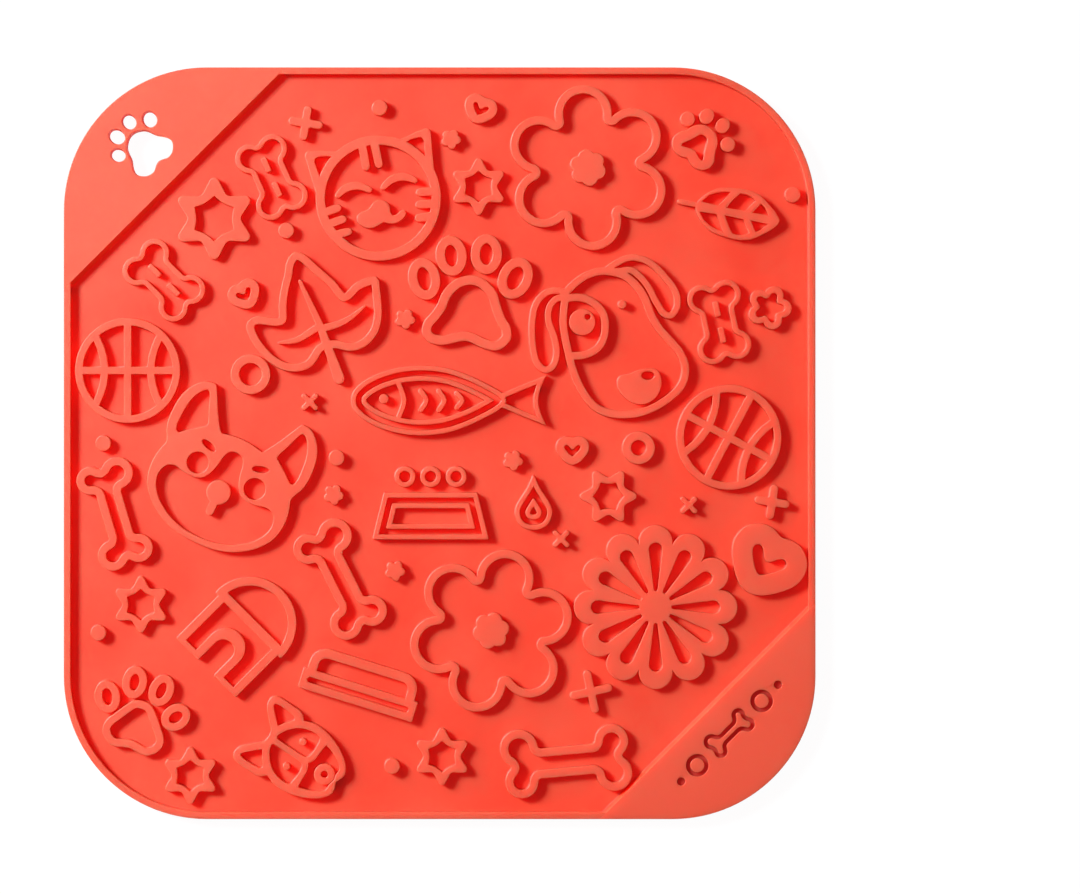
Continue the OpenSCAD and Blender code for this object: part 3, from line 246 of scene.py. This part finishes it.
# %% [markdown]
# ## The silicone material
#
# The material puts the patterns together: the pigment colours it, with painted sheen on the raised
# tops and painted shade in the engraved row, the clouds and the grain make it matter in places, and
# the grain and the waves are its bump.
#
# A rib also lets some red lamp light straight through, which softens its shadow. Subsurface
# scattering alone gives that only close to the rib's foot, so a ray that asks whether a lamp is
# hidden meets a clear red stain instead of an opaque wall. Every other ray sees the rubber itself.

# %% The silicone material
STAIN = (0.54, 0.016, 0.008, 1)
SMOOTHEST = 0.37
GRAIN_ROUGHNESS = 0.1
CLOUD_ROUGHNESS = 0.12
WAVE_HEIGHT = 1.5
BUMP_STRENGTH = 0.35
BUMP_HEIGHT = 0.05 * MM


def silicone_material(name):
    material = bpy.data.materials.new(name)
    material.use_nodes = True
    tree = material.node_tree
    tree.nodes.clear()
    start = Wire(tree)
    place = start.node("ShaderNodeTexCoord", out="Object")
    cloud, waves, grain = (noise(start, place, pattern) for pattern in (CLOUDS, WAVES, GRAIN))
    # painted shade: the engraved row is painted a darker red over the pigment
    colour = blend_colours(
        start, groove_shade_mask(start, place), pigment(start, place, cloud, grain), GROOVE_SHADE_COLOUR
    )
    relief = {
        "Height": grain + waves * WAVE_HEIGHT,
        "Strength": BUMP_STRENGTH,
        "Distance": BUMP_HEIGHT,
    }
    shader = start.node(
        "ShaderNodeBsdfPrincipled",
        sockets={
            "Base Color": colour,
            "Roughness": SMOOTHEST + grain * GRAIN_ROUGHNESS + cloud * CLOUD_ROUGHNESS,
            "Normal": start.node("ShaderNodeBump", sockets=relief),
            "IOR": SILICONE_IOR,
            "Specular IOR Level": SHINE,
            "Subsurface Weight": 1.0,
            "Subsurface Radius": SILICONE_RADIUS,
            "Subsurface Scale": SILICONE_DEPTH,
        },
    )
    stained = start.node("ShaderNodeBsdfTransparent", sockets={"Color": STAIN})
    for_lamps = start.node("ShaderNodeLightPath", out="Is Shadow Ray")
    surface = start.node("ShaderNodeMixShader", sockets={0: for_lamps, 1: shader, 2: stained})
    start.node("ShaderNodeOutputMaterial", sockets={"Surface": surface})
    return material


coral = silicone_material("coral_silicone")
print(coral.name, "has", len(coral.node_tree.nodes), "nodes")

# %% [markdown]
# ## From a sharp solid to a moulded form
#
# The construction solids are straight prisms with sharp edges, and a mould can't make those: the
# cutter that carved it had a radius, and rubber must come out again. Each form is copied and its
# loose triangles are merged. Then its top is lowered and drawn inwards in a few small steps, each
# one an inset with a little depth, so that the steps follow a quarter circle: that is the rounded
# crown. The foot is the same walk outwards on a hollow quarter circle, which makes the fillet. A
# bevel would do on a simple outline, but it stumbles over the very short edges of these curves,
# where an inset of the whole region keeps every wall at the same distance.

# %% Helpers that walk an edge round
STEPS = 4
LEVEL = 0.02 * MM
UPRIGHT = 0.9


def level_faces(form, z, sign):
    """The faces that lie at height z and look straight up (1) or straight down (-1)."""
    return [
        f
        for f in form.faces
        if f.normal.z * sign > UPRIGHT and abs(f.calc_center_median().z - z) < LEVEL
    ]


def quarter_circle(radius):
    """The small steps, across and along, that follow a quarter circle of this radius."""
    angles = [math.pi / 2 * k / STEPS for k in range(STEPS + 1)]
    return [
        (radius * (math.cos(a) - math.cos(b)), radius * (math.sin(b) - math.sin(a)))
        for a, b in zip(angles, angles[1:])
    ]


def walk(form, faces, radius, outwards=False):
    """Insets a flat region along a quarter circle: inwards for a crown, outwards for a foot."""
    side = faces[0].normal.z
    corners = {v for f in faces for v in f.verts}
    bmesh.ops.translate(form, verts=list(corners), vec=(0, 0, -side * radius))
    for across, along in quarter_circle(radius):
        bmesh.ops.inset_region(
            form,
            faces=faces,
            thickness=-across if outwards else across,
            depth=along,
            use_boundary=True,
            use_even_offset=False,
        )


print("a crown of 1 mm in steps of", [(round(a, 2), round(b, 2)) for a, b in quarter_circle(1)])

# %% [markdown]
# Where a form ends flush with the mat's own side, its foot must not stick out past the sheet. The
# mat's outline is a square with round corners, so the distance to it is a short formula, and a
# vertex that the foot pushed outside is brought back along it.

# %% A helper that keeps the side flush
CORNER_RADIUS = 38 * MM
HALF_SIDE = sheet_high.x


def keep_inside(form):
    core = HALF_SIDE - CORNER_RADIUS
    for v in form.verts:
        out = Vector((max(abs(v.co.x) - core, 0), max(abs(v.co.y) - core, 0)))
        if out.length > CORNER_RADIUS:
            out *= CORNER_RADIUS / out.length
            if abs(v.co.x) > core:
                v.co.x = math.copysign(core + out.x, v.co.x)
            if abs(v.co.y) > core:
                v.co.y = math.copysign(core + out.y, v.co.y)


print("the mat's sides are straight for", round(2 * (HALF_SIDE - CORNER_RADIUS) / MM, 2), "mm")

# %% [markdown]
# ## Opening a solid and writing the piece
#
# A construction solid comes as loose triangles. Only a copy of it is merged and shaped, and the
# copy then stands for the solid. The finished forms are lifted by a hundredth of a millimetre, so
# that no face of a form lies exactly in the face of the sheet, because two faces in one place
# render as blotches. The crowns are shaded smooth, and edges over 40 degrees stay sharp.

# %% Helpers that open a solid and write its piece
MERGE = 0.02 * MM
LIFT = 0.01 * MM
SHARP_ANGLE = math.radians(40)


def open_form(node):
    form = bmesh.new()
    form.from_mesh(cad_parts[node].data)
    bmesh.ops.remove_doubles(form, verts=form.verts, dist=MERGE)
    form.normal_update()
    return form


def close_form(form, node):
    """Writes the bmesh to a new piece named after its node, hides the node and hangs the piece on
    the root body.
    """
    keep_inside(form)
    mesh = bpy.data.meshes.new("moulded_" + node)
    form.normal_update()
    form.to_mesh(mesh)
    form.free()
    for layer in ("custom_normal", "sharp_edge", "sharp_face"):
        if layer in mesh.attributes:
            mesh.attributes.remove(mesh.attributes[layer])
    mesh.materials.clear()
    mesh.materials.append(coral)
    mesh.shade_smooth()
    mesh.set_sharp_from_angle(angle=SHARP_ANGLE)
    piece = bpy.data.objects.new(mesh.name, mesh)
    bpy.context.scene.collection.objects.link(piece)
    weighted = piece.modifiers.new("weighted_normals", "WEIGHTED_NORMAL")
    weighted.keep_sharp = True
    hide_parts(node)
    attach(piece, "root")
    return piece


def moulded(node, crown, foot):
    form = open_form(node)
    walk(form, level_faces(form, relief_top, 1), crown)
    walk(form, level_faces(form, sheet_high.z, -1), foot, outwards=True)
    bmesh.ops.translate(form, verts=form.verts, vec=(0, 0, LIFT))
    return close_form(form, node)


# %% [markdown]
# ## The sheet
#
# The sheet carries everything. Its face stays flat, and its lower edge is rounded a little, as the
# bottom of a mould is.

# %% Make the sheet
SHEET_EDGE = 0.5 * MM

form = open_form("base_sheet")
walk(form, level_faces(form, sheet_low.z, -1), SHEET_EDGE)
sheet = close_form(form, "base_sheet")
print(sheet.name, "has", len(sheet.data.polygons), "faces")

# %% [markdown]
# ## The ribs, studs and plates
#
# All raised forms get the same small crown and foot, and only the lower plate's crown is smaller.
# Its engraved lines are narrow, and a crown runs along both edges of each line, so a wide one
# would make the lines look wider than they are.

# %% Make every form on the sheet
CROWN = 0.18 * MM
PANEL_CROWN = 0.1 * MM
FOOT = 0.18 * MM

forms = [
    moulded(node, PANEL_CROWN if node == "corner_panel" else CROWN, FOOT)
    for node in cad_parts
    if node != "base_sheet"
]
faces = [len(piece.data.polygons) for piece in forms]
print(len(forms), "forms with", sum(faces), "faces, at most", max(faces), "in one")

# %% [markdown]
# ## The floor
#
# The mat lies on a white floor that hides where it ends. A white surface under plain light renders
# a little grey, so the floor shows itself to the camera mostly by its own glow and keeps a share of
# the light that falls on it, which is what carries the shadow.

# %% The floor's material
FLOOR_WHITE = (0.95, 0.95, 0.95, 1)
FLOOR_GLOW = 1.02
SHADOW_SHARE = 0.05


def floor_material():
    material = bpy.data.materials.new("white_floor")
    material.use_nodes = True
    tree = material.node_tree
    tree.nodes.clear()
    start = Wire(tree)
    seen = start.node("ShaderNodeLightPath", out="Is Camera Ray")
    glossy = start.node("ShaderNodeLightPath", out="Is Glossy Ray")
    through = start.node("ShaderNodeLightPath", out="Is Transmission Ray")
    looked_at = start.math("MAXIMUM", seen, start.math("MAXIMUM", glossy, through))
    plain = start.node("ShaderNodeBsdfDiffuse", sockets={"Color": FLOOR_WHITE})
    share = start.node("ShaderNodeBsdfDiffuse", sockets={"Color": (SHADOW_SHARE,) * 3 + (1,)})
    glow = start.node(
        "ShaderNodeEmission",
        sockets={"Color": (1, 1, 1, 1), "Strength": FLOOR_GLOW - SHADOW_SHARE},
    )
    both = start.node("ShaderNodeAddShader", sockets={0: share, 1: glow})
    mixed = start.node("ShaderNodeMixShader", sockets={0: looked_at, 1: plain, 2: both})
    start.node("ShaderNodeOutputMaterial", sockets={"Surface": mixed})
    return material


print("the floor glows at", round(FLOOR_GLOW - SHADOW_SHARE, 2), "and is lit for the rest")

# %% The floor
FLOOR_SIDE = 6.0
FLOOR_DROP = 0.05 * MM

floor_form = bmesh.new()
bmesh.ops.create_grid(floor_form, x_segments=1, y_segments=1, size=FLOOR_SIDE / 2)
bmesh.ops.translate(floor_form, verts=floor_form.verts, vec=Vector((0, 0, -FLOOR_DROP)))
floor_mesh = bpy.data.meshes.new("floor")
floor_form.to_mesh(floor_mesh)
floor_form.free()
floor_mesh.materials.append(floor_material())
floor = bpy.data.objects.new("floor", floor_mesh)
bpy.context.scene.collection.objects.link(floor)
print("floor", FLOOR_SIDE, "m wide")

# %% [markdown]
# ## The light
#
# One soft lamp stands at the left, a little above the mat's middle line, and draws a short shadow
# to the right of each rib. It is near the mat, so its sheen is stronger at the upper left and fades
# to the right, where a far lamp would give the same sheen everywhere. Its watts are worked out
# backwards, from the level at which a white card on the floor should render.

# %% The lamp
KEY_AZIMUTH = math.radians(153)
KEY_ELEVATION = math.radians(39)
KEY_DISTANCE = 1.25
KEY_SIZE = 0.36
KEY_LEVEL = 1.07

toward = Vector(
    (
        math.cos(KEY_AZIMUTH) * math.cos(KEY_ELEVATION),
        math.sin(KEY_AZIMUTH) * math.cos(KEY_ELEVATION),
        math.sin(KEY_ELEVATION),
    )
)
key_data = bpy.data.lights.new("key", "AREA")
key_data.shape = "DISK"
key_data.size = KEY_SIZE
key_data.energy = KEY_LEVEL * math.pi**2 * KEY_DISTANCE**2 / math.sin(KEY_ELEVATION)
key = bpy.data.objects.new("key", key_data)
key.location = toward * KEY_DISTANCE
key.rotation_euler = toward.to_track_quat("Z", "Y").to_euler()
bpy.context.scene.collection.objects.link(key)
print("key lamp", round(key_data.energy, 1), "W")

# %% [markdown]
# ## The sky
#
# A dim white sky fills the shadows. The camera alone sees it as plain white, so the picture's
# background is white and the mat is still lit at a plain level.

# %% The sky
SKY_LEVEL = 0.08

world = bpy.data.worlds.new("sky")
world.use_nodes = True
world.node_tree.nodes.clear()
sky = Wire(world.node_tree)
seen_by_camera = sky.node("ShaderNodeLightPath", out="Is Camera Ray")
dim = sky.node("ShaderNodeBackground", sockets={"Color": (1, 1, 1, 1), "Strength": SKY_LEVEL})
white = sky.node("ShaderNodeBackground", sockets={"Color": (1, 1, 1, 1), "Strength": 1.0})
sky_mix = sky.node("ShaderNodeMixShader", sockets={0: seen_by_camera, 1: dim, 2: white})
sky.node("ShaderNodeOutputWorld", sockets={"Surface": sky_mix})
bpy.context.scene.world = world
print("sky at", SKY_LEVEL)
